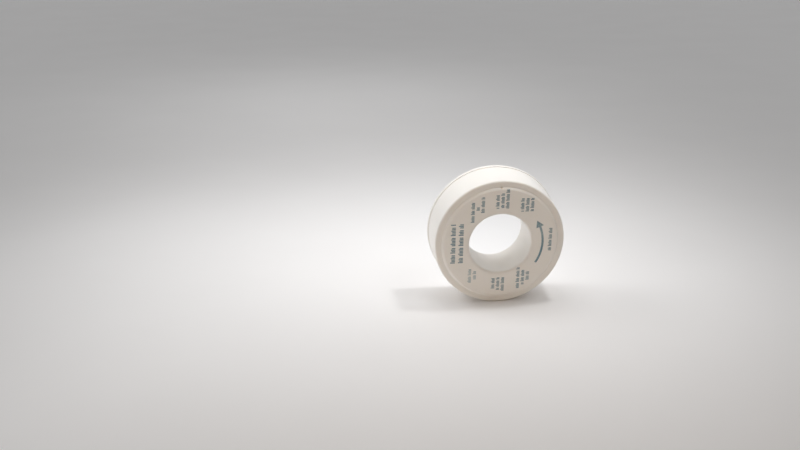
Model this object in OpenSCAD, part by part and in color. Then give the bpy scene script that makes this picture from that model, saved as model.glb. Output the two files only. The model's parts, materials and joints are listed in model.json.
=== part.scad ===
// Roll of thread seal tape: a flanged spool, the tape wound on its hub, and a push-fit cover.
// The roll stands on its rim. Its axis lies along Y, the printed face looks along -Y, and the
// origin is on the axis, halfway between the two faces.

/* [Tape] */
// Width of the tape
tape_w = 12.7; // [6:0.1:19.1]
// Thickness of the tape
tape_t = 0.075; // [0.05:0.005:0.12]
// Length of tape wound on the hub
tape_len = 7315; // [3000:5:13200]
// Room beside the winding at each face
tape_side_gap = 0.15; // [0.1:0.01:0.5]
// Room between the full winding and the skirt of the cover
pack_gap = 4.26; // [2.5:0.01:8]

/* [Spool] */
// Diameter of the bore through the hub
bore_d = 22.8; // [14:0.1:30]
// Wall of the hub that carries the winding
hub_t = 1.6; // [1.3:0.05:2.5]
// Wall of the thinner hub end that passes through the cover
spigot_t = 0.9; // [0.8:0.05:1.1]
// Thickness of the back flange
flange_t = 1.8; // [1.4:0.05:3]
// How far the flange stands out past the cover, as a grip for pulling it off
flange_lip = 0.3; // [0.1:0.05:2]
// Round on the front of that lip
lip_round = 0.25; // [0.1:0.05:0.8]
// Round on the back edge of the flange
flange_edge = 0.45; // [0.2:0.05:0.6]
// Round at both mouths of the bore
mouth_edge = 0.75; // [0.2:0.05:0.85]
// Width of the flat rim round the back of the flange
rim_w = 2.6; // [1.5:0.1:5]
// Depth of the shallow dish between the rim and the hub on the back
dish_depth = 0.4; // [0.2:0.05:0.6]
// Width of the ring on the flange that the skirt seats round
seat_w = 1.1; // [0.8:0.05:1.6]
// Height of that ring
seat_h = 2; // [1.8:0.05:2.6]

/* [Cover] */
// Wall of the skirt at the face
skirt_t = 1.2; // [0.9:0.05:2]
// Draft on the outside of the skirt, in degrees, which makes its open end the wider one
skirt_draft = 2; // [0:0.1:4]
// Wall of the face
face_t = 1.3; // [0.9:0.05:2]
// Height of the raised panel that carries the print
panel_h = 0.5; // [0.25:0.05:0.8]
// Width of the plain band outside the panel
band_w = 2.2; // [1.6:0.1:5]
// Round on the outer edge of the face
cover_edge = 0.7; // [0.2:0.05:0.8]
// Round on the edge of the panel, which meets the band at a slope if it is over the panel's height
panel_edge = 1; // [0.2:0.05:1.5]
// Radius of the pit that the moulding gate leaves at the foot of the panel
gate_r = 0.35; // [0.2:0.05:0.8]
// Depth of that pit below the band
gate_depth = 0.45; // [0.1:0.05:0.6]

/* [Fits] */
// Radial clearance of the hub end in the hole of the cover
spigot_gap = 0.05; // [0.03:0.01:0.1]
// Radial clearance of the skirt round its seat
seat_gap = 0.12; // [0.1:0.01:0.3]
// Gap between the end of the skirt and the flange, seen as the seam of the barrel
seam_gap = 0.1; // [0.05:0.05:0.6]
// How far the hub end lies below the panel
spigot_set = 0.05; // [0:0.05:0.3]

/* [Hidden] */
$fn = 96;

// Extra length that carries a cut clear of the faces it starts from
overrun = 0.2;
// Fillet in the inner corners of the mouldings
fillet_r = 0.5;
// Snap bead: its radius, and the share of the seat's clearance that it takes up
bead_r = 0.4;
bead_share = 0.8;
// Place of the bead and its groove along the seat, and half the groove's width against the bead
bead_place_share = 0.55;
groove_half_share = 0.9;
// Depth of the groove that the bead clicks into
groove_depth = 0.25;
// Eased edges where the cover is guided on to its seats
lead_in = 0.25;
hole_edge = 0.05;
// Place of the gate just past the top of the face, counted from +X towards +Z
gate_angle = 91;
// The free end of the tape: where it leaves the winding, and its curve against the winding's
tail_angle = 55;
tail_sweep = 30;
tail_curve_share = 1.5;

mould_white = "#f1ede5";
tape_white = "#f8f7f3";

// Radii, from the bore outwards
bore_r = bore_d / 2;
spigot_r = bore_r + spigot_t;
hole_r = spigot_r + spigot_gap;
hub_r = bore_r + hub_t;
pack_r = sqrt(pow(hub_r, 2) + tape_len * tape_t / PI);
skirt_in_r = pack_r + pack_gap;
cover_r = skirt_in_r + skirt_t;
panel_r = cover_r - band_w;
seat_r = skirt_in_r - seat_gap;
tail_r = pack_r * tail_curve_share;

// Places along the axis, from the print panel backwards
shoulder_a = panel_h + face_t;
tape_a = shoulder_a + tape_side_gap;
flange_a = tape_a + tape_w + tape_side_gap;
roll_w = flange_a + flange_t;
draft_a = panel_h + cover_edge;
skirt_end_a = flange_a - seam_gap;
bead_a = flange_a - seat_h * bead_place_share;
bead_h = seat_gap * bead_share;
groove_half = bead_r * groove_half_share;

// Radii at the back, past the draft that the skirt has behind the round of its edge
skirt_end_r = cover_r + (skirt_end_a - draft_a) * tan(skirt_draft);
flange_r = skirt_end_r + flange_lip;

// Stands a shape that is turned about Z, front at zero, on the roll's own axis
module on_axis() {
    rotate([-90, 0, 0])
        translate([0, 0, -roll_w / 2])
            children();
}

// Sliver between a square corner at p and a round of radius r on its side (sx, sy):
// cut from an outer corner it rounds the edge, added in an inner corner it is the fillet
module corner(p, sx, sy, r) {
    translate(p)
        difference() {
            translate([sx > 0 ? -overrun : -r, sy > 0 ? -overrun : -r])
                square(r + overrun);
            translate([sx * r, sy * r])
                circle(r);
        }
}

// Half section of the spool, radius across and distance behind the panel upwards
module spool_section() {
    difference() {
        union() {
            translate([bore_r, flange_a])
                square([flange_r - bore_r, flange_t]);
            translate([bore_r, shoulder_a])
                square([hub_t, roll_w - shoulder_a]);
            translate([bore_r, spigot_set])
                square([spigot_t, roll_w - spigot_set]);
            translate([seat_r - seat_w, flange_a - seat_h])
                square([seat_w, seat_h + flange_t]);
            corner([seat_r - seat_w, flange_a], -1, -1, fillet_r);
        }
        corner([bore_r, spigot_set], 1, 1, mouth_edge);
        corner([bore_r, roll_w], 1, -1, mouth_edge);
        corner([flange_r, flange_a], -1, 1, lip_round);
        corner([flange_r, roll_w], -1, -1, flange_edge);
        corner([seat_r, flange_a - seat_h], -1, 1, lead_in);
        translate([seat_r - groove_depth, bead_a - groove_half])
            square([groove_depth + overrun, 2 * groove_half]);
        translate([hub_r, roll_w - dish_depth])
            square([flange_r - rim_w - hub_r, dish_depth + overrun]);
    }
}

// Half section of the cover, in the same frame
module cover_section() {
    difference() {
        union() {
            polygon([
                [hole_r, panel_h],
                [cover_r, panel_h],
                [cover_r, draft_a],
                [skirt_end_r, skirt_end_a],
                [skirt_in_r, skirt_end_a],
                [skirt_in_r, shoulder_a],
                [hole_r, shoulder_a]
            ]);
            difference() {
                translate([hole_r, 0])
                    square([panel_r - hole_r, panel_h + face_t]);
                corner([panel_r, 0], -1, 1, panel_edge);
            }
            corner([skirt_in_r, shoulder_a], -1, 1, fillet_r);
            translate([skirt_in_r - bead_h + bead_r, bead_a])
                circle(bead_r);
        }
        corner([cover_r, panel_h], -1, 1, cover_edge);
        corner([hole_r, 0], 1, 1, hole_edge);
        corner([skirt_in_r, skirt_end_a], 1, -1, lead_in);
    }
}

module spool() {
    color(mould_white)
        on_axis()
            rotate_extrude()
                spool_section();
}

module wound_tape() {
    color(tape_white)
        on_axis()
            rotate_extrude()
                translate([hub_r, tape_a])
                    square([pack_r - hub_r, tape_w]);
}

// A strip that leaves the winding along its tangent, on a wider curve
module tape_end() {
    color(tape_white)
        on_axis()
            rotate([0, 0, -tail_angle])
                translate([pack_r - tail_r, 0, 0])
                    rotate_extrude(angle = tail_sweep)
                        translate([tail_r, tape_a])
                            square([tape_t, tape_w]);
}

module cover() {
    color(mould_white)
        on_axis()
            difference() {
                rotate_extrude()
                    cover_section();
                rotate([0, 0, -gate_angle])
                    translate([panel_r, 0, -overrun])
                        cylinder(r = gate_r, h = panel_h + gate_depth + overrun);
            }
}

spool();
wound_tape();
tape_end();
cover();
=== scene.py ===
import json
import math

import bmesh
import bpy
from mathutils import Matrix, Vector


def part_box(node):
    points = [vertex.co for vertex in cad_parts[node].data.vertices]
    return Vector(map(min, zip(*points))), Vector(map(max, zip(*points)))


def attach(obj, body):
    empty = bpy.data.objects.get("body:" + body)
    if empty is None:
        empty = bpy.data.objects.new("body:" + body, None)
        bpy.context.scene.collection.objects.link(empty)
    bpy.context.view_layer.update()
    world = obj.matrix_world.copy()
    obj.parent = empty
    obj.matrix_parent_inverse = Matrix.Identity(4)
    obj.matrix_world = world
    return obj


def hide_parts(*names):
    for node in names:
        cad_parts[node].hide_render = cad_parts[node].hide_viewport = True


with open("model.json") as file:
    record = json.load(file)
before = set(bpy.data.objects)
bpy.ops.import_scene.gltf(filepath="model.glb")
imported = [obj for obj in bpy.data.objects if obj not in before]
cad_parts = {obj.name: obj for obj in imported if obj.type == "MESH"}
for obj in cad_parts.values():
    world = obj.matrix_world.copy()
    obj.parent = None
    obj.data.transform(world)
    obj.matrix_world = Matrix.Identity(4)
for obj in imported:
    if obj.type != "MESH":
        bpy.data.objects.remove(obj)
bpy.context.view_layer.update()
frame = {"record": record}

# Sizes are in millimetres, and MM takes them to metres. Radii are counted from the roll's axis, which lies
# along Y, and depths along that axis from the print panel towards the back.
MM = 0.001

# Main sizes, from the frame
cover_low, cover_high = (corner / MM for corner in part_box("cover"))
spool_low, spool_high = (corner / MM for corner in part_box("spool"))
tape_low, tape_high = (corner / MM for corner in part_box("wound_tape"))
bore = next(mount for mount in frame["record"]["mounts"] if mount["name"] == "bore")
FRONT_Y = cover_low.y
SKIRT_END_R = cover_high.x
BORE_R = bore["dims"]["r_mm"]
FLANGE_R = spool_high.x
SPIGOT_FRONT = spool_low.y - FRONT_Y
ROLL_W = spool_high.y - FRONT_Y
PACK_R = tape_high.x
TAPE_FRONT = tape_low.y - FRONT_Y
TAPE_BACK = tape_high.y - FRONT_Y

# The spool's own sizes
HUB_T = 1.6
SPIGOT_T = 0.9
FLANGE_T = 1.8
LIP_ROUND = 0.3
FLANGE_EDGE = 0.45
MOUTH_EDGE = 0.75
RIM_W = 2.6
DISH_DEPTH = 0.4
SEAT_W = 1.1
SEAT_H = 2.0
HUB_R = BORE_R + HUB_T
SPIGOT_R = BORE_R + SPIGOT_T
FLANGE_FRONT = ROLL_W - FLANGE_T

# The cover's own sizes. Its skirt widens towards the open end by the draft. The panel's edge is a wide round
# that meets the band at a slope: its lean is how far that slope reaches out past the corner it rounds. The
# band drops further below the panel than in the CAD, so that this edge shows as clearly as in the photograph.
# The pit of the moulding gate reaches down to a bottom of its own.
SKIRT_T = 1.2
SKIRT_DRAFT = math.tan(math.radians(2))
SEAM_GAP = 0.02
SEAM_EDGE = 0.03
FACE_T = 1.3
PANEL_H = 0.5
BAND_DROP = 0.3
BAND_DEPTH = PANEL_H + BAND_DROP
BAND_W = 2.33
COVER_EDGE = 0.7
PANEL_LEAN = 0.5
PANEL_EDGE = 0.8
PANEL_FOOT = 0.05
GATE_R = 0.4
GATE_BOTTOM = 1.4
GATE_ANGLE = math.radians(91)
SKIRT_END = FLANGE_FRONT - SEAM_GAP
COVER_R = SKIRT_END_R - SKIRT_DRAFT * (SKIRT_END - PANEL_H - COVER_EDGE)
SKIRT_IN_R = COVER_R - SKIRT_T
PANEL_R = COVER_R - BAND_W
SHOULDER = PANEL_H + FACE_T

# Fits between the two mouldings, and the bead that holds the cover on
SPIGOT_GAP = 0.02
SPIGOT_EDGE = 0.04
SEAT_GAP = 0.12
BEAD_H = 0.096
BEAD_HALF = 0.26
BEAD_SET = 1.1
BEAD_DEPTH = FLANGE_FRONT - BEAD_SET
GROOVE_HALF = 0.36
GROOVE_D = 0.25
LEAD_IN = 0.25
FILLET = 0.5
SMALL_EDGE = 0.12
HOLE_R = SPIGOT_R + SPIGOT_GAP
SEAT_R = SKIRT_IN_R - SEAT_GAP
SEAT_IN_R = SEAT_R - SEAT_W

# The wound tape: its thickness, and how unevenly its turns lie at the sides. The swings are the angles by
# which the unevenness moves on from one ring of turns to the next.
TAPE_T = 0.075
SIDE_RINGS = 26
SIDE_SCATTER = 0.12
FRONT_SWING = 2.4
BACK_SWING = 1.7
BACK_SWING_START = 1

# The free end of the tape, on its wider curve. Its ripple runs at a slant over the strip, by these angles
# over the whole width and length.
TAIL_ANGLE = math.radians(55)
TAIL_SWEEP = math.radians(30)
TAIL_CURVE_SHARE = 1.5
TAIL_RIPPLE = 0.22
RIPPLE_ACROSS = 9
RIPPLE_ALONG = 4
TAIL_R = PACK_R * TAIL_CURVE_SHARE
TAIL_W = TAPE_BACK - TAPE_FRONT

# The print, all of it in plain bars but for one arrow. Its ink stands as high as the film that the pad lays
# down.
INK_FILM = 0.02
SMALL_CAP = 1.35
SMALL_PITCH = 1.8
LARGE_CAP = 1.8
STROKE_SHARE = 0.21
STROKE_STEP_SHARE = 0.32
BAR_ROUND_SHARE = 0.3
# Heights of the bars in a row as shares of its cap height, where zero leaves a gap between groups
BAR_SHARES = (1, 0.75, 0.75, 0.9, 0.75, 0.75, 0, 1, 0.75, 0.9, 0.75, 0, 0.75, 1, 0.75, 0.75, 0.9, 0.75, 0)
# By how many bars each block, small row and large row starts further on in that pattern
BLOCK_SHIFT = 5
SMALL_SHIFT = 3
LARGE_SHIFT = 7
# Blocks of small rows: the block's place across and up, how much higher each row stands than the one before
# it, and the length of each row from left to right
SMALL_BLOCKS = (
    (-8.8, 14.0, 1.2, (8.4, 1.4, 6.6)),
    (0.1, 16.8, 0.4, (5.2, 5.8, 7.6)),
    (9.2, 14.9, 0, (5.2, 5.4, 5.2)),
    (18.4, 1.0, 0, (9.2,)),
    (8.9, -13.8, 0.4, (8.6, 6.4, 3.4)),
    (-0.4, -16.2, 0, (4.8, 5.2, 6.0)),
    (-10.2, -12.5, 0.4, (6.0, 3.4)),
)
# Large rows: the place from left to right, and the length. They stand a little above the middle.
LARGE_ROWS = ((-17.5, 15.6), (-14.6, 15.6))
LARGE_LIFT = 0.6
# The arrow that shows which way the tape is drawn off
ARROW_R = 15.7
ARROW_W = 0.8
ARROW_HEAD_W = 2.9
ARROW_HEAD = 2.8
ARROW_SHOULDER = 0.1
ARROW_START = math.radians(-31)
ARROW_SWEEP = math.radians(64)
ARROW_STEPS = 40

# How finely shapes are divided
TURN_STEPS = 240
ROUND_STEPS = 6
TAIL_STEPS_ACROSS = 24
TAIL_STEPS_ALONG = 28
BAR_ROUND_STEPS = 3
GATE_STEPS = 32
SHARP_ANGLE = math.radians(35)
WELD = 0.0005


def linear(hex_colour):
    """An sRGB hex colour as linear red, green, blue and alpha."""
    shares = [int(hex_colour[i:i + 2], 16) / 255 for i in (1, 3, 5)]
    return [s / 12.92 if s <= 0.04045 else ((s + 0.055) / 1.055) ** 2.4 for s in shares] + [1.0]


def add_node(tree, kind, settings, inputs):
    """Adds a node with its settings. An input is a value, or a socket that it is linked to."""
    node = tree.nodes.new(kind)
    for name, value in settings.items():
        setattr(node, name, value)
    for key, value in inputs.items():
        if isinstance(value, bpy.types.NodeSocket):
            tree.links.new(value, node.inputs[key])
        else:
            node.inputs[key].default_value = value
    return node


# Sockets of the colour Mix node, by number because they share their names with others of that node
MIX_A, MIX_B, MIX_OUT = 6, 7, 2


def start_material(name):
    """A new node material with its tree, its shader and the object coordinates."""
    material = bpy.data.materials.new(name)
    material.use_nodes = True
    tree = material.node_tree
    where = add_node(tree, "ShaderNodeTexCoord", {}, {}).outputs["Object"]
    return material, tree, tree.nodes["Principled BSDF"], where


def ring_place(tree, where):
    """A point's radius and depth, which are the same all the way round a turned or wound surface."""
    split = add_node(tree, "ShaderNodeSeparateXYZ", {}, {"Vector": where})
    across = add_node(tree, "ShaderNodeCombineXYZ", {}, {"X": split.outputs["X"], "Y": split.outputs["Z"]})
    radius = add_node(tree, "ShaderNodeVectorMath", {"operation": "LENGTH"}, {0: across.outputs["Vector"]})
    place = add_node(tree, "ShaderNodeCombineXYZ", {}, {
        "X": radius.outputs["Value"], "Y": split.outputs["Y"]})
    return place.outputs["Vector"]


def moulded_polypropylene():
    """Polypropylene, injection moulded: a warm white resin with a satin skin that lets a little light in.
    Faint flow clouds tint it, and the mould's spark-eroded grain and turning marks break up its gloss."""
    cloud_mm, grain_mm, ring_mm, patch_mm = 9.0, 0.3, 0.22, 6.0
    relief_mm, glow_mm = 0.012, 1.2
    material, tree, shader, where = start_material("moulded_polypropylene_satin")
    clouds = add_node(tree, "ShaderNodeTexNoise", {}, {
        "Vector": where, "Scale": 1 / (cloud_mm * MM), "Detail": 2.0})
    # Real grain is about 0.05 mm, drawn coarser here so that it shows
    grain = add_node(tree, "ShaderNodeTexNoise", {}, {
        "Vector": where, "Scale": 1 / (grain_mm * MM), "Detail": 3.0})
    rings = add_node(tree, "ShaderNodeTexNoise", {}, {
        "Vector": ring_place(tree, where), "Scale": 1 / (ring_mm * MM), "Detail": 2.0})
    patches = add_node(tree, "ShaderNodeTexNoise", {}, {
        "Vector": where, "Scale": 1 / (patch_mm * MM), "Detail": 1.0})
    tint = add_node(tree, "ShaderNodeMix", {"data_type": "RGBA"}, {
        "Factor": clouds.outputs["Fac"], MIX_A: linear("#F1EEE9"), MIX_B: linear("#F6F4F0")})
    marks = add_node(tree, "ShaderNodeMath", {"operation": "MULTIPLY"}, {
        0: rings.outputs["Fac"], 1: patches.outputs["Fac"]})
    relief = add_node(tree, "ShaderNodeMath", {"operation": "ADD"}, {
        0: grain.outputs["Fac"], 1: marks.outputs["Value"]})
    skin = add_node(tree, "ShaderNodeBump", {}, {
        "Strength": 0.35, "Distance": relief_mm * MM, "Height": relief.outputs["Value"]})
    gloss = add_node(tree, "ShaderNodeMapRange", {}, {
        "Value": marks.outputs["Value"], "From Max": 0.6, "To Min": 0.36, "To Max": 0.5})
    tree.links.new(tint.outputs[MIX_OUT], shader.inputs["Base Color"])
    tree.links.new(gloss.outputs["Result"], shader.inputs["Roughness"])
    tree.links.new(skin.outputs["Normal"], shader.inputs["Normal"])
    shader.inputs["IOR"].default_value = 1.49
    shader.inputs["Subsurface Weight"].default_value = 0.12
    shader.inputs["Subsurface Radius"].default_value = (1.0, 0.9, 0.75)
    shader.inputs["Subsurface Scale"].default_value = glow_mm * MM
    return material


def pad_printed_ink():
    """Blue solvent ink, pad printed: a thin satin film, paler where the pad left less of it. It left least of
    it in the last block of rows, at the lower left."""
    thin_mm, worn_mm = 0.5, 11.0
    spot_mm, spot_edge_mm, spot_loss = 3.5, 6.0, 0.3
    spot_x, spot_z = SMALL_BLOCKS[-1][:2]
    material, tree, shader, where = start_material("pad_printed_ink_blue")
    thin = add_node(tree, "ShaderNodeTexNoise", {}, {
        "Vector": where, "Scale": 1 / (thin_mm * MM), "Detail": 4.0})
    worn = add_node(tree, "ShaderNodeTexNoise", {}, {
        "Vector": where, "Scale": 1 / (worn_mm * MM), "Detail": 1.0})
    from_spot = add_node(tree, "ShaderNodeVectorMath", {"operation": "DISTANCE"}, {
        0: where, 1: Vector((spot_x, FRONT_Y, spot_z)) * MM})
    light_spot = add_node(tree, "ShaderNodeMapRange", {}, {
        "Value": from_spot.outputs["Value"], "From Min": spot_mm * MM, "From Max": spot_edge_mm * MM,
        "To Min": spot_loss, "To Max": 0.0})
    loss = add_node(tree, "ShaderNodeMath", {"operation": "ADD"}, {
        0: thin.outputs["Fac"], 1: worn.outputs["Fac"]})
    total_loss = add_node(tree, "ShaderNodeMath", {"operation": "ADD"}, {
        0: loss.outputs["Value"], 1: light_spot.outputs["Result"]})
    paleness = add_node(tree, "ShaderNodeMapRange", {}, {
        "Value": total_loss.outputs["Value"], "From Min": 0.9, "From Max": 1.4})
    tint = add_node(tree, "ShaderNodeMix", {"data_type": "RGBA"}, {
        "Factor": paleness.outputs["Result"], MIX_A: linear("#608494"), MIX_B: linear("#ABBCC2")})
    gloss = add_node(tree, "ShaderNodeMapRange", {}, {
        "Value": thin.outputs["Fac"], "To Min": 0.35, "To Max": 0.55})
    tree.links.new(tint.outputs[MIX_OUT], shader.inputs["Base Color"])
    tree.links.new(gloss.outputs["Result"], shader.inputs["Roughness"])
    return material


def unsintered_film():
    """Fluoropolymer film, calendered and not sintered: soft, waxy and white, with fine lines along its
    length. On the sides of the winding the same lines are the edges of its turns."""
    line_mm, cloud_mm = 0.25, 5.0
    relief_mm, glow_mm = 0.04, 0.6
    material, tree, shader, where = start_material("unsintered_sealing_film")
    # Turns are 0.075 mm apart, drawn coarser here so that they show
    lines = add_node(tree, "ShaderNodeTexNoise", {}, {
        "Vector": ring_place(tree, where), "Scale": 1 / (line_mm * MM), "Detail": 2.0})
    clouds = add_node(tree, "ShaderNodeTexNoise", {}, {
        "Vector": where, "Scale": 1 / (cloud_mm * MM), "Detail": 2.0})
    tint = add_node(tree, "ShaderNodeMix", {"data_type": "RGBA"}, {
        "Factor": lines.outputs["Fac"], MIX_A: linear("#E9E8E3"), MIX_B: linear("#FAF9F6")})
    relief = add_node(tree, "ShaderNodeMath", {"operation": "ADD"}, {
        0: lines.outputs["Fac"], 1: clouds.outputs["Fac"]})
    skin = add_node(tree, "ShaderNodeBump", {}, {
        "Strength": 0.6, "Distance": relief_mm * MM, "Height": relief.outputs["Value"]})
    gloss = add_node(tree, "ShaderNodeMapRange", {}, {
        "Value": clouds.outputs["Fac"], "To Min": 0.5, "To Max": 0.7})
    tree.links.new(tint.outputs[MIX_OUT], shader.inputs["Base Color"])
    tree.links.new(gloss.outputs["Result"], shader.inputs["Roughness"])
    tree.links.new(skin.outputs["Normal"], shader.inputs["Normal"])
    shader.inputs["IOR"].default_value = 1.38
    shader.inputs["Subsurface Weight"].default_value = 0.2
    shader.inputs["Subsurface Scale"].default_value = glow_mm * MM
    return material


def painted_board():
    """The studio's floor: board with a matt white paint, faintly uneven from the roller."""
    cloud_mm = 60.0
    material, tree, shader, where = start_material("matt_painted_board")
    clouds = add_node(tree, "ShaderNodeTexNoise", {}, {
        "Vector": where, "Scale": 1 / (cloud_mm * MM), "Detail": 3.0})
    tint = add_node(tree, "ShaderNodeMix", {"data_type": "RGBA"}, {
        "Factor": clouds.outputs["Fac"], MIX_A: linear("#F3F2F2"), MIX_B: linear("#F8F7F7")})
    tree.links.new(tint.outputs[MIX_OUT], shader.inputs["Base Color"])
    shader.inputs["Roughness"].default_value = 0.75
    return material


def add_object(name, shape):
    """Makes an object of a finished shape."""
    mesh = bpy.data.meshes.new(name)
    shape.to_mesh(mesh)
    shape.free()
    thing = bpy.data.objects.new(name, mesh)
    bpy.context.scene.collection.objects.link(thing)
    return thing


def add_piece(name, shape, material, body, replaced=None):
    """Makes a piece of a finished shape, with its own flat faces shaded flat, and hangs it on its body."""
    for edge in shape.edges:
        edge.smooth = edge.calc_face_angle(0) < SHARP_ANGLE
    for face in shape.faces:
        face.smooth = True
    piece = add_object(name, shape)
    piece.data.materials.append(material)
    flats = piece.modifiers.new("flat_faces", "WEIGHTED_NORMAL")
    flats.keep_sharp = True
    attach(piece, body)
    if replaced:
        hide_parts(replaced)
    return piece


def cut_away(shape, tool):
    """Returns what is left of a shape when a tool's shape is cut away from it."""
    block, cutter = add_object("block", shape), add_object("cutter", tool)
    cut = block.modifiers.new("cut", "BOOLEAN")
    cut.object = cutter
    rest = bmesh.new()
    rest.from_object(block, bpy.context.evaluated_depsgraph_get())
    bpy.data.objects.remove(block)
    bpy.data.objects.remove(cutter)
    return rest


def turned(outline):
    """Turns a closed outline about the roll's axis. Its corners are (radius, depth, round), where the round
    takes that much off both sides of the corner."""
    shape = bmesh.new()
    corners = [shape.verts.new((radius * MM, (FRONT_Y + depth) * MM, 0)) for radius, depth, _ in outline]
    for start, end in zip(corners, corners[1:] + corners[:1]):
        shape.edges.new((start, end))
    for corner, (_, _, round_r) in zip(corners, outline):
        if round_r:
            bmesh.ops.bevel(shape, geom=[corner], offset=round_r * MM, offset_type="OFFSET",
                            segments=ROUND_STEPS, profile=0.5, affect="VERTICES", material=-1)
    bmesh.ops.spin(shape, geom=shape.verts[:] + shape.edges[:], cent=(0, 0, 0), axis=(0, 1, 0),
                   angle=2 * math.pi, steps=TURN_STEPS, use_merge=True)
    bmesh.ops.remove_doubles(shape, verts=shape.verts, dist=WELD * MM)
    bmesh.ops.recalc_face_normals(shape, faces=shape.faces)
    return shape


def cover_shape():
    """The cover: a face with a raised panel, and a skirt with the bead inside. The ink has its room on the
    panel, and the moulding gate has left a pit at the panel's foot."""
    shape = turned([
        (HOLE_R, INK_FILM, SPIGOT_EDGE),
        (PANEL_R - PANEL_LEAN, INK_FILM, PANEL_EDGE),
        (PANEL_R, BAND_DEPTH, PANEL_FOOT),
        (COVER_R, BAND_DEPTH, COVER_EDGE),
        (SKIRT_END_R, SKIRT_END, SEAM_EDGE),
        (SKIRT_IN_R, SKIRT_END, LEAD_IN),
        (SKIRT_IN_R, BEAD_DEPTH + BEAD_HALF, 0),
        (SKIRT_IN_R - BEAD_H, BEAD_DEPTH, SMALL_EDGE),
        (SKIRT_IN_R, BEAD_DEPTH - BEAD_HALF, 0),
        (SKIRT_IN_R, SHOULDER, FILLET),
        (HOLE_R, SHOULDER, SMALL_EDGE),
    ])
    pit = bmesh.new()
    foot = Vector((math.cos(GATE_ANGLE), 0, math.sin(GATE_ANGLE))) * PANEL_R
    middle = foot + Vector((0, FRONT_Y + GATE_BOTTOM / 2, 0))
    place = Matrix.Translation(middle * MM) @ Matrix.Rotation(math.pi / 2, 4, "X")
    bmesh.ops.create_cone(pit, cap_ends=True, segments=GATE_STEPS, radius1=GATE_R * MM, radius2=GATE_R * MM,
                          depth=GATE_BOTTOM * MM, matrix=place)
    return cut_away(shape, pit)


def spool_shape():
    """The spool: the hub with its thinner end, the flange with the ring that the skirt seats round, and the
    dish at the back."""
    return turned([
        (BORE_R, SPIGOT_FRONT, MOUTH_EDGE),
        (SPIGOT_R, SPIGOT_FRONT, SPIGOT_EDGE),
        (SPIGOT_R, SHOULDER, 0),
        (HUB_R, SHOULDER, SMALL_EDGE),
        (HUB_R, FLANGE_FRONT, 0),
        (SEAT_IN_R, FLANGE_FRONT, FILLET),
        (SEAT_IN_R, FLANGE_FRONT - SEAT_H, SMALL_EDGE),
        (SEAT_R, FLANGE_FRONT - SEAT_H, LEAD_IN),
        (SEAT_R, BEAD_DEPTH - GROOVE_HALF, 0),
        (SEAT_R - GROOVE_D, BEAD_DEPTH - GROOVE_HALF, 0),
        (SEAT_R - GROOVE_D, BEAD_DEPTH + GROOVE_HALF, 0),
        (SEAT_R, BEAD_DEPTH + GROOVE_HALF, 0),
        (SEAT_R, FLANGE_FRONT, 0),
        (FLANGE_R, FLANGE_FRONT, LIP_ROUND),
        (FLANGE_R, ROLL_W, FLANGE_EDGE),
        (FLANGE_R - RIM_W, ROLL_W, SMALL_EDGE),
        (FLANGE_R - RIM_W, ROLL_W - DISH_DEPTH, SMALL_EDGE),
        (HUB_R, ROLL_W - DISH_DEPTH, SMALL_EDGE),
        (HUB_R, ROLL_W, SMALL_EDGE),
        (BORE_R, ROLL_W, MOUTH_EDGE),
    ])


def winding_shape():
    """The wound tape: groups of turns that stand a little more or less far out at both sides."""
    step = (PACK_R - HUB_R) / SIDE_RINGS
    front, back = [], []
    for ring in range(SIDE_RINGS):
        inner, outer = HUB_R + ring * step, HUB_R + (ring + 1) * step
        front_set = SIDE_SCATTER * (0.5 + 0.5 * math.sin(FRONT_SWING * ring))
        back_set = SIDE_SCATTER * (0.5 + 0.5 * math.sin(BACK_SWING * ring + BACK_SWING_START))
        front += [(inner, TAPE_FRONT + front_set, 0), (outer, TAPE_FRONT + front_set, 0)]
        back += [(inner, TAPE_BACK - back_set, 0), (outer, TAPE_BACK - back_set, 0)]
    return turned(front + back[::-1])


def tail_shape():
    """The free end of the tape: a strip that leaves the winding on a wider curve, with a slack ripple."""
    shape = bmesh.new()
    bmesh.ops.create_grid(shape, x_segments=TAIL_STEPS_ACROSS, y_segments=TAIL_STEPS_ALONG, size=0.5)
    away = Vector((math.cos(TAIL_ANGLE), 0, math.sin(TAIL_ANGLE)))
    centre = away * (PACK_R - TAIL_R)
    for vert in shape.verts:
        across, share = vert.co.x, vert.co.y + 0.5
        angle = TAIL_ANGLE - share * TAIL_SWEEP
        ripple = TAIL_RIPPLE * share ** 2 * math.cos(RIPPLE_ACROSS * across + RIPPLE_ALONG * share)
        out = Vector((math.cos(angle), 0, math.sin(angle)))
        point = centre + out * (TAIL_R + ripple)
        point.y = FRONT_Y + (TAPE_FRONT + TAPE_BACK) / 2 + across * TAIL_W
        vert.co = point * MM
    bmesh.ops.recalc_face_normals(shape, faces=shape.faces)
    bmesh.ops.solidify(shape, geom=shape.faces[:], thickness=TAPE_T * MM)
    return shape


def add_row(shape, x, z, length, cap, first):
    """Draws one row of bars upwards along Z, centred on (x, z), from a bar of the pattern on. Returns the
    corners of its bars."""
    step = STROKE_STEP_SHARE * cap
    count = round(length / step)
    corners = []
    for i in range(count):
        share = BAR_SHARES[(first + i) % len(BAR_SHARES)]
        if share:
            up = z + step * (i - (count - 1) / 2)
            middle = Vector((x + cap * (1 - share) / 2, FRONT_Y + INK_FILM, up))
            place = (Matrix.Translation(middle * MM) @ Matrix.Rotation(math.pi / 2, 4, "X")
                     @ Matrix.Diagonal((cap * share * MM, STROKE_SHARE * cap * MM, 1, 1)))
            bar = bmesh.ops.create_grid(shape, x_segments=1, y_segments=1, size=0.5, matrix=place)
            corners += bar["verts"]
    return corners


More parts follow.
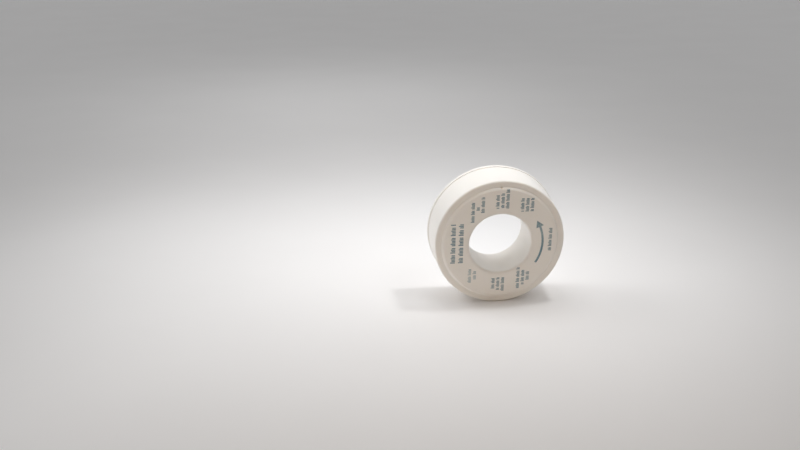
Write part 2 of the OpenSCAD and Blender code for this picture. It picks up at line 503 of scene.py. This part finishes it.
def add_arrow(shape):
    """Draws the arrow along its arc: a shaft of even width, a shoulder out to the head's width, and a tip."""
    strip = bmesh.ops.create_grid(shape, x_segments=1, y_segments=ARROW_STEPS, size=0.5)["verts"]
    shaft = ARROW_R * ARROW_SWEEP - ARROW_HEAD
    for vert in strip:
        side, step = vert.co.x, round((vert.co.y + 0.5) * ARROW_STEPS)
        if step == ARROW_STEPS:
            along, width = shaft + ARROW_HEAD, 0
        elif step == ARROW_STEPS - 1:
            along, width = shaft + ARROW_SHOULDER, ARROW_HEAD_W
        else:
            along, width = shaft * step / (ARROW_STEPS - 2), ARROW_W
        angle = ARROW_START + along / ARROW_R
        radius = ARROW_R + side * width
        vert.co = Vector((radius * math.cos(angle), FRONT_Y + INK_FILM, radius * math.sin(angle))) * MM
    bmesh.ops.remove_doubles(shape, verts=strip, dist=WELD * MM)


def print_shape():
    """The blue print: blocks of small rows round the panel, two large rows on the left, and the arrow on the
    right."""
    shape = bmesh.new()
    small, large = [], []
    for block, (x, z, lift, lengths) in enumerate(SMALL_BLOCKS):
        for row, length in enumerate(lengths):
            place = row - (len(lengths) - 1) / 2
            first = BLOCK_SHIFT * block + SMALL_SHIFT * row
            small += add_row(shape, x + SMALL_PITCH * place, z + lift * place, length, SMALL_CAP, first)
    for row, (x, length) in enumerate(LARGE_ROWS):
        large += add_row(shape, x, LARGE_LIFT, length, LARGE_CAP, LARGE_SHIFT * row)
    for corners, cap in ((small, SMALL_CAP), (large, LARGE_CAP)):
        bar_round = BAR_ROUND_SHARE * STROKE_SHARE * cap
        bmesh.ops.bevel(shape, geom=corners, offset=bar_round * MM, offset_type="OFFSET",
                        segments=BAR_ROUND_STEPS, profile=0.5, affect="VERTICES", material=-1)
    add_arrow(shape)
    ink = bmesh.ops.extrude_face_region(shape, geom=shape.faces[:], use_keep_orig=True)["geom"]
    top = [part for part in ink if isinstance(part, bmesh.types.BMVert)]
    bmesh.ops.translate(shape, verts=top, vec=(0, -INK_FILM * MM, 0))
    bmesh.ops.recalc_face_normals(shape, faces=shape.faces)
    return shape


plastic = moulded_polypropylene()
film = unsintered_film()
add_piece("cover_shell", cover_shape(), plastic, "cover", replaced="cover")
add_piece("cover_print", print_shape(), pad_printed_ink(), "cover")
add_piece("spool_moulding", spool_shape(), plastic, "spool", replaced="spool")
add_piece("tape_winding", winding_shape(), film, "spool", replaced="wound_tape")
tail = add_piece("tape_tail", tail_shape(), film, "spool", replaced="tape_end")

# The stage. The roll rests on its flange and on the smaller front edge of its cover, so the floor lies at a
# slight slope to its axis.
FLOOR_SIDE = 12000
BACK_FOOT = Vector((0, FRONT_Y + FLANGE_FRONT + FLANGE_T / 2, -FLANGE_R))
FRONT_FOOT = Vector((0, FRONT_Y + PANEL_H + COVER_EDGE, -COVER_R))
slope = math.atan2(FRONT_FOOT.z - BACK_FOOT.z, BACK_FOOT.y - FRONT_FOOT.y)
ground = bmesh.new()
bmesh.ops.create_grid(ground, x_segments=1, y_segments=1, size=FLOOR_SIDE / 2 * MM,
                      matrix=Matrix.Translation(BACK_FOOT * MM) @ Matrix.Rotation(-slope, 4, "X"))
floor = add_object("floor", ground)
floor.data.materials.append(painted_board())


def add_softbox(name, place, aim, side, spread, watts, colour):
    """A square soft lamp at a place in millimetres, turned towards its aim. A spread below 180 degrees keeps
    its light together, as a honeycomb grid does."""
    light = bpy.data.lights.new(name, "AREA")
    light.shape = "SQUARE"
    light.size = side * MM
    light.spread = math.radians(spread)
    light.energy = watts
    light.color = linear(colour)[:3]
    lamp = bpy.data.objects.new(name, light)
    lamp.location = Vector(place) * MM
    lamp.rotation_euler = (Vector(place) - Vector(aim)).to_track_quat("Z", "Y").to_euler()
    lamp.visible_camera = False
    bpy.context.scene.collection.objects.link(lamp)


# White lamps stand above the roll, beside it and behind it. A warm card in front tints the printed face.
WHITE = "#FFFFFF"
WARM = "#FFCB83"
add_softbox("right_softbox", (55, 12, 178), (-12, 60, -25), 20, 110, 0.0382, WHITE)
add_softbox("top_softbox", (-30, 40, 200), (-30, 100, -25), 100, 100, 0.0432, WHITE)
add_softbox("left_softbox", (-150, 60, 150), (0, 0, 0), 80, 180, 0.079, WHITE)
add_softbox("front_lamp", (60, -60, 160), (0, 20, 0), 80, 110, 0.0202, WHITE)
add_softbox("low_left_lamp", (-250, -120, 40), (0, 0, 0), 80, 60, 0.0102, WHITE)
add_softbox("low_back_lamp", (-200, 150, 30), (0, 0, 0), 80, 60, 0.0035, WHITE)
add_softbox("far_lamp", (-50, 350, 250), (-50, 400, -25), 200, 100, 0.0525, WHITE)
add_softbox("warm_card", (-60, -420, 150), (0, 0, 0), 180, 80, 0.045, WARM)

# A plain room fills the shade. It is pale behind the roll and dark in front of it, and the blend is how far
# the one reaches over into the other.
ROOM_BLEND = 0.3
world = bpy.data.worlds.new("room")
world.use_nodes = True
bpy.context.scene.world = world
room = world.node_tree
outwards = add_node(room, "ShaderNodeTexCoord", {}, {}).outputs["Generated"]
heading = add_node(room, "ShaderNodeSeparateXYZ", {}, {"Vector": outwards})
behind = add_node(room, "ShaderNodeMapRange", {}, {
    "Value": heading.outputs["Y"], "From Min": -ROOM_BLEND, "From Max": ROOM_BLEND})
walls = add_node(room, "ShaderNodeMix", {"data_type": "RGBA"}, {
    "Factor": behind.outputs["Result"], MIX_A: linear("#161616"), MIX_B: linear("#D9D9D9")})
room.links.new(walls.outputs[MIX_OUT], room.nodes["Background"].inputs["Color"])

# The camera stands where the photograph was taken from, off to the left and looking down
CAMERA_FROM_RIM = Vector((-66.1, -278.8, 126.1))
CAMERA_HEADING = math.radians(6.01)
CAMERA_PITCH = math.radians(22.72)
view = bpy.data.cameras.new("camera")
view.sensor_width = 36
view.lens = 38.25
view.clip_start = 10 * MM
camera = bpy.data.objects.new("camera", view)
camera.location = (Vector((0, FRONT_Y + BAND_DEPTH, 0)) + CAMERA_FROM_RIM) * MM
camera.rotation_euler = (math.pi / 2 - CAMERA_PITCH, 0, -CAMERA_HEADING)
bpy.context.scene.collection.objects.link(camera)
bpy.context.scene.camera = camera
bpy.context.scene.view_settings.view_transform = "Standard"
